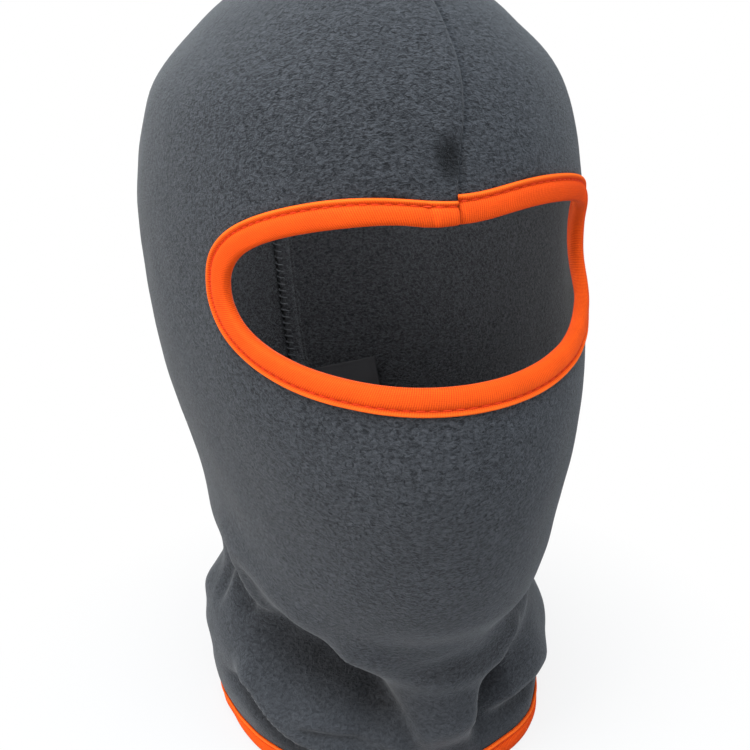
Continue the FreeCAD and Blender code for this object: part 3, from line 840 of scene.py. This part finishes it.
def sweep_tape(name, track, crease):
    """The folded tape along a track, with ribs across it; crease gives the depth of a dent along it."""
    length = tape_length(track)
    sections = SAMPLES_PER_RIB * round(length / RIB_PITCH) + 1
    shares, _ = even_steps(lambda s: track(s, TAPE_WIDTH / 2, 0.0), sections)
    profile = tape_profile()
    outer = smoothstep((profile[:, 1] + FLEECE) / FLEECE)
    phase = 2 * math.pi * (np.arange(sections) + 0.5) / SAMPLES_PER_RIB
    ribs = RIB_HEIGHT * np.cos(phase)
    count = len(profile)
    share, widen = np.meshgrid(shares, profile[:, 0], indexing="ij")
    raised = np.minimum(1, smoothstep((profile[:, 1] + 1.5 * MM) / MM) + 0.4)
    height = profile[:, 1][None, :] + ribs[:, None] * raised[None, :]
    points = track(share, widen, height - crease(share) * outer[None, :])
    faces = grid_faces(sections, count, wrap_columns=True)
    faces.append(tuple(range(count)))
    faces.append(tuple(range((sections - 1) * count, sections * count)))
    around = np.concatenate([[0], np.cumsum(np.linalg.norm(np.diff(profile, axis=0), axis=1))])
    along = np.linspace(0, length, sections)
    uvs = np.stack(np.meshgrid(along, around, indexing="ij"), axis=-1).reshape(-1, 2)
    piece = new_piece(name, points.reshape(-1, 3), faces, BINDING_KNIT, uvs)
    return piece


def tack_dent(length, from_end, side):
    """A crease across the tape where the tack pulls it down, at a distance from one end."""
    middle = from_end / length if side == "start" else 1 - from_end / length

    def dent(share):
        away = (share - middle) * length
        sharp = TACK_CREASE * np.exp(-((away / TACK_CREASE_HALF) ** 2))
        return sharp + TACK_HOLLOW * np.exp(-((away / TACK_HOLLOW_HALF) ** 2))

    return dent


STITCH_PITCH = 2.7 * MM
STITCH_STEPS = 7
STITCH_RADIUS = 0.29 * MM
STITCH_HEIGHTS = ((1, 0.55 * MM), (-1, -FLEECE - 0.75 * MM))  # outside and inside


def stitches(name, track, length):
    """A line of short stitches on each side of the tape; their ends dive into the knit."""
    count = round(length / STITCH_PITCH)
    reach = np.linspace(-1, 1, STITCH_STEPS)
    parts = []
    for outer, height in STITCH_HEIGHTS:
        for k in range(count):
            share = (k + 0.5) / count + reach * 0.40 / count
            middle = np.full(STITCH_STEPS, TAPE_WIDTH - STITCH_INSET)
            path = track(share, middle, height - outer * 0.4 * MM * np.abs(reach) ** 3)
            up = track(share, middle, height + 1 * MM) - track(share, middle, height)
            parts.append(tube(path, up, STITCH_RADIUS * np.sqrt(1.12 - reach**2)))
    points, faces = joined(parts)
    piece = new_piece(name, points, faces, BINDING_THREAD)
    return piece


def tack_stitches(name, track, length, from_end, side):
    """A bar tack: close zigzag stitches in a short bar across the tape."""
    turns, steps = 9, 6
    wave = np.linspace(0, turns, turns * steps + 1)
    middle = from_end / length if side == "start" else 1 - from_end / length
    share = middle + 0.5 * MM / length * np.sin(2 * math.pi * wave)
    widen = 1.4 * MM + 3.6 * MM * wave / turns
    height = 0.55 * MM + 0.1 * MM * np.cos(4 * math.pi * wave)
    path = track(share, widen, height)
    up = track(share, widen, height + 1 * MM) - path
    piece = new_piece(name, *tube(path, up, 0.15 * MM), TACK_THREAD)
    return piece


def eye_binding():
    """The eye opening's tape, its stitching and its tack."""
    length = tape_length(eye_track)
    tape = sweep_tape("eye_binding_tape", eye_track, tack_dent(length, TACK_OFFSET, "end"))
    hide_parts("eye_binding")
    thread = stitches("eye_binding_stitches", eye_track, length)
    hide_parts("eye_binding_thread")
    tack = tack_stitches("forehead_tack_stitches", eye_track, length, TACK_OFFSET, "end")
    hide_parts("forehead_tack")
    for piece in (tape, thread, tack):
        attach(piece, "hood")


def hem_binding():
    """The hem's tape, its stitching and its tack."""
    length = tape_length(hem_track)
    tape = sweep_tape("hem_binding_tape", hem_track, tack_dent(length, TACK_OFFSET, "start"))
    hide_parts("hem_binding")
    thread = stitches("hem_binding_stitches", hem_track, length)
    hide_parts("hem_binding_thread")
    tack = tack_stitches("hem_tack_stitches", hem_track, length, TACK_OFFSET, "start")
    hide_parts("hem_tack")
    for piece in (tape, thread, tack):
        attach(piece, "neck")


# ---- The seam's inside -----------------------------------------------------------------------------------


def seam_line(count):
    """(turn, level) from the forehead's tape over the crown and down the nape to the hem's tape."""
    front_start = OPENING_LEVEL + OPENING_RISE - FOREHEAD_DIP + TAPE_WIDTH
    rise = np.linspace(0, 1, 400)
    front = front_start + (TOP - 0.3 * MM - front_start) * (1 - (1 - rise) ** 2)
    back = TAPE_WIDTH + (TOP - 0.3 * MM - TAPE_WIDTH) * (1 - rise**2)
    turn = np.concatenate([np.zeros(400), np.full(400, math.pi)])
    level = np.concatenate([front, back])
    points = bare_surface(turn, level)
    length = np.concatenate([[0], np.cumsum(np.linalg.norm(np.diff(points, axis=0), axis=1))])
    even = np.linspace(0, length[-1], count)
    index = np.searchsorted(length, even, side="left").clip(0, len(turn) - 1)
    return turn[index], np.interp(even, length, level), length[-1]


def seam_points(turn, level, across, height):
    """Points beside the seam on its -X side, at a distance across and a height above the fleece."""
    points = fabric(turn, level)
    normal = surface_normal(turn, level)
    points = points + normal * np.asarray(height)[..., None]
    points[..., 0] -= across + seam_drift(turn, level)
    return points


def seam_allowance():
    """The two raw edges of fleece, sewn together and folded to -X inside the seam."""
    count = 260
    turn, level, _ = seam_line(count)
    low, high = -FLEECE - 3.0 * MM, -FLEECE + 0.4 * MM
    wave = 0.25 * MM * np.sin(np.arange(count) * 0.9)
    section = [(0.3 * MM, high), (0.0, (low + high) / 2), (0.5 * MM, low), (3 * MM, low - 0.2 * MM)]
    section += [(ALLOWANCE_WIDTH - 0.6 * MM, low + 0.1 * MM), (ALLOWANCE_WIDTH, (low + high) / 2)]
    section += [(ALLOWANCE_WIDTH - 0.6 * MM, high - 0.4 * MM)]
    rows = [seam_points(turn, level, across + wave * across / ALLOWANCE_WIDTH, height + 0 * level)
            for across, height in section]
    points = np.stack(rows, axis=1)
    faces = grid_faces(count, len(section), wrap_columns=True)
    faces.append(tuple(range(len(section))))
    faces.append(tuple(range((count - 1) * len(section), count * len(section))))
    piece = new_piece("seam_allowance", points.reshape(-1, 3), faces, FLEECE_PILE)
    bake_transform(piece)


def overlock():
    """Overlock thread: loops that wrap the allowance's free edge."""
    steps = 8
    _, _, length = seam_line(10)
    loops = round(length / (3.2 * MM))
    turn, level, _ = seam_line(loops * steps + 1)
    wave = 2 * math.pi * np.arange(loops * steps + 1) / steps
    across = ALLOWANCE_WIDTH - 1.4 * MM + 2.0 * MM * np.cos(wave)
    height = -FLEECE - 1.5 * MM - 1.75 * MM * np.sin(wave)
    path = seam_points(turn, level, across, height)
    piece = new_piece("overlock_stitches", *tube(path, surface_normal(turn, level), 0.28 * MM), SEAM_THREAD)
    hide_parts("seam_thread_hood", "seam_thread_neck")
    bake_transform(piece)


# ---- The label -------------------------------------------------------------------------------------------


def blank_label():
    """A blank ribbon label with turned edges; one edge is sewn into the nape seam."""
    node = frame["nodes"]["care_label"]
    joint = next(item for item in frame["joints"] if item["name"] == "label_swing")
    corners = np.array([v.co for v in node.data.vertices])
    hinge, axis = np.array(joint["pos_m"], float), np.array(joint["axis"], float)
    axis /= np.linalg.norm(axis)
    off = corners - hinge
    middle = off.mean(axis=0)
    out = middle - axis * (middle @ axis)
    out /= np.linalg.norm(out)
    up = np.cross(axis, out)
    reach, width = (off @ out).max(), np.ptp(off @ axis)
    near, centre, lift = (off @ out).min(), (off @ axis).mean(), (off @ up).mean()
    columns, rows = 45, 33
    s, t = np.meshgrid(np.linspace(0, 1, columns), np.linspace(-1, 1, rows), indexing="ij")
    curl = 1.3 * MM * s**2 - 0.5 * MM * s * t**2
    hem = 0.35 * MM * (smoothstep((np.abs(t) - 0.86) / 0.04) + smoothstep((s - 0.91) / 0.03)).clip(0, 1)
    sheets = []
    for side in (1, -1):
        height = lift + curl * 0.5 + side * (0.22 * MM + hem / 2)
        along = near + (reach - near) * s
        sheets.append(hinge + along[..., None] * out + (centre + t * width / 2)[..., None] * axis
                      + height[..., None] * up)
    points = np.concatenate([sheet.reshape(-1, 3) for sheet in sheets])
    count = columns * rows
    top = grid_faces(columns, rows)
    faces = top + [tuple(i + count for i in reversed(face)) for face in top]
    rim = [i * rows for i in range(columns)] + [(columns - 1) * rows + j for j in range(1, rows)]
    rim += [i * rows + rows - 1 for i in reversed(range(columns - 1))] + list(reversed(range(1, rows - 1)))
    faces += [(a, b, b + count, a + count) for a, b in zip(rim, rim[1:] + rim[:1])]
    flat = np.stack([s * (reach - near), t * width / 2], axis=-1).reshape(-1, 2)
    piece = new_piece("blank_label", points, faces, LABEL_SATIN, np.vstack([flat, flat]))
    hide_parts("care_label")
    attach(piece, "label")


fleece_shell()
eye_binding()
hem_binding()
seam_allowance()
overlock()
blank_label()

# ---- Studio ----------------------------------------------------------------------------------------------


def floor_paint():
    """Pale matt paint that fades to the white of the surround away from the piece."""
    n = Nodes("floor_paint")
    away = n.length(n.place())
    fade = n.math("ADD", n.math("MULTIPLY", n.math("SUBTRACT", away, 0.10), 1.6), 0.88, clamp=True)
    seen = n.math("MULTIPLY", fade, n.add("ShaderNodeLightPath").outputs["Is Camera Ray"])
    paint = n.add("ShaderNodeBsdfDiffuse", {"Color": (0.50, 0.50, 0.51, 1)}).outputs[0]
    white = n.add("ShaderNodeEmission", {"Color": (1, 1, 1, 1), "Strength": 1.0}).outputs[0]
    mixed = n.add("ShaderNodeMixShader", {0: seen, 1: paint, 2: white}).outputs[0]
    n.add("ShaderNodeOutputMaterial", {"Surface": mixed})
    return n.material


def studio_floor():
    """A wide pale floor."""
    half = 3.0
    points = [(-half, -half, 0), (half, -half, 0), (half, half, 0), (-half, half, 0)]
    new_piece("floor", points, [(0, 1, 2, 3)], floor_paint(), closed=False)


def area_light(name, place, size, power, colour):
    """A soft square light that looks at the middle of the piece."""
    data = bpy.data.lights.new(name, "AREA")
    data.size = size
    data.energy = power
    data.color = colour
    light = bpy.data.objects.new(name, data)
    bpy.context.collection.objects.link(light)
    light.location = place
    towards = Vector((0, 0, 0.17)) - Vector(place)
    light.rotation_euler = towards.to_track_quat("-Z", "Y").to_euler()


def inside_light():
    """A weak light in the hollow, so that its inside can be seen."""
    data = bpy.data.lights.new("inside_light", "POINT")
    data.energy = 0.3
    data.shadow_soft_size = 40 * MM
    light = bpy.data.objects.new("inside_light", data)
    light.location = (0, 20 * MM, 200 * MM)
    bpy.context.collection.objects.link(light)


def studio_lights():
    """A bright even surround, soft lights above and beside, and a weak one inside."""
    world = bpy.data.worlds.new("surround")
    bpy.context.scene.world = world
    world.use_nodes = True
    tree = world.node_tree
    tree.nodes.clear()
    seen = tree.nodes.new("ShaderNodeBackground")
    seen.inputs[0].default_value = (1, 1, 1, 1)
    seen.inputs[1].default_value = 1.0
    lit = tree.nodes.new("ShaderNodeBackground")
    lit.inputs[0].default_value = (0.93, 0.96, 1.0, 1)
    lit.inputs[1].default_value = 0.36
    path = tree.nodes.new("ShaderNodeLightPath")
    mix = tree.nodes.new("ShaderNodeMixShader")
    out = tree.nodes.new("ShaderNodeOutputWorld")
    tree.links.new(path.outputs["Is Camera Ray"], mix.inputs[0])
    tree.links.new(lit.outputs[0], mix.inputs[1])
    tree.links.new(seen.outputs[0], mix.inputs[2])
    tree.links.new(mix.outputs[0], out.inputs[0])
    area_light("top_light", (-0.25, -0.35, 1.5), 0.9, 34, (0.80, 0.91, 1.0))
    area_light("left_light", (-1.4, -0.3, 0.6), 0.8, 24, (1.0, 0.98, 0.95))
    area_light("right_light", (0.9, -1.3, 0.7), 0.9, 16, (0.94, 0.97, 1.0))
    inside_light()


CAMERA_AZIMUTH = math.radians(-20.3)
CAMERA_ELEVATION = math.radians(17.2)
CAMERA_ROLL = math.radians(-2.4)
CAMERA_DISTANCE = 430 * MM
CAMERA_TARGET = Vector((0, 0, 168.3 * MM))
SENSOR = 36.0
LENS = 52.1
SHIFT_ACROSS, SHIFT_UP = 0.018, -0.090  # the picture's middle is below and beside the camera's axis


def studio_camera():
    """The camera, near the piece and a little above it, on the -X side of its front."""
    back = Vector((
        math.sin(CAMERA_AZIMUTH) * math.cos(CAMERA_ELEVATION),
        -math.cos(CAMERA_AZIMUTH) * math.cos(CAMERA_ELEVATION),
        math.sin(CAMERA_ELEVATION),
    ))
    right = (-back).cross(Vector((0, 0, 1))).normalized()
    up = back.cross(right)
    cos, sin = math.cos(CAMERA_ROLL), math.sin(CAMERA_ROLL)
    right, up = cos * right + sin * up, cos * up - sin * right
    data = bpy.data.cameras.new("camera")
    data.sensor_width = SENSOR
    data.lens = LENS
    data.clip_start = 0.01
    data.shift_x = SHIFT_ACROSS
    data.shift_y = SHIFT_UP
    camera = bpy.data.objects.new("camera", data)
    bpy.context.collection.objects.link(camera)
    turned = Matrix((right, up, back)).transposed().to_4x4()
    camera.matrix_world = Matrix.Translation(CAMERA_TARGET + back * CAMERA_DISTANCE) @ turned
    bpy.context.scene.camera = camera


studio_floor()
studio_lights()
studio_camera()
bpy.context.scene.view_settings.view_transform = "Standard"
